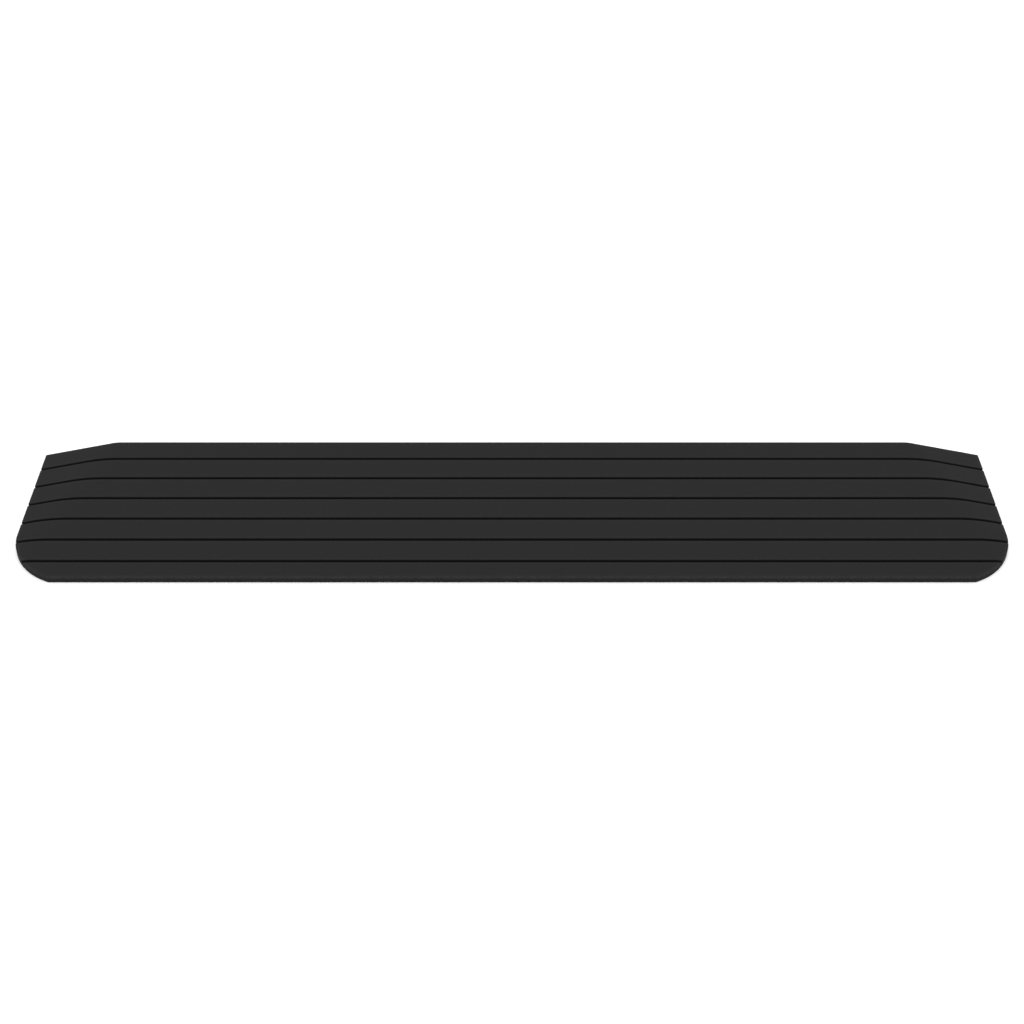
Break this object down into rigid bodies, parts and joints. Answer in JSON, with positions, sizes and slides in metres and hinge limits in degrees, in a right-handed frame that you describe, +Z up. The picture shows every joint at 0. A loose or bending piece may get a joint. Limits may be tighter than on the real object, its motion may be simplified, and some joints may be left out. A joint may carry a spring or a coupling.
{
  "type": "threshold ramp",
  "caption": "Low black rubber wedge that evens out a small step, with a grooved tread, sloping ends, rounded front corners and adhesive fixing strips underneath.",
  "frame": {"origin": "middle of the footprint on the floor, at the height of the lower faces of the release liners that the ramp stands on", "axes": "+X along the threshold, which is the ramp's length; +Y from the low front edge to the tall rear face that goes against the step; +Z up"},
  "size_m": [1.07, 0.22, 0.0253],
  "materials": {
    "moulded_rubber": "matte",
    "adhesive_tape": "satin",
    "release_paper": "satin"
  },
  "bodies": {
    "root": {"ramp_body": "moulded_rubber", "front_fixing_strip": "adhesive_tape", "rear_fixing_strip": "adhesive_tape", "left_fixing_strip": "adhesive_tape", "right_fixing_strip": "adhesive_tape", "front_release_liner": "release_paper", "rear_release_liner": "release_paper", "left_release_liner": "release_paper", "right_release_liner": "release_paper"}
  },
  "joints": []
}
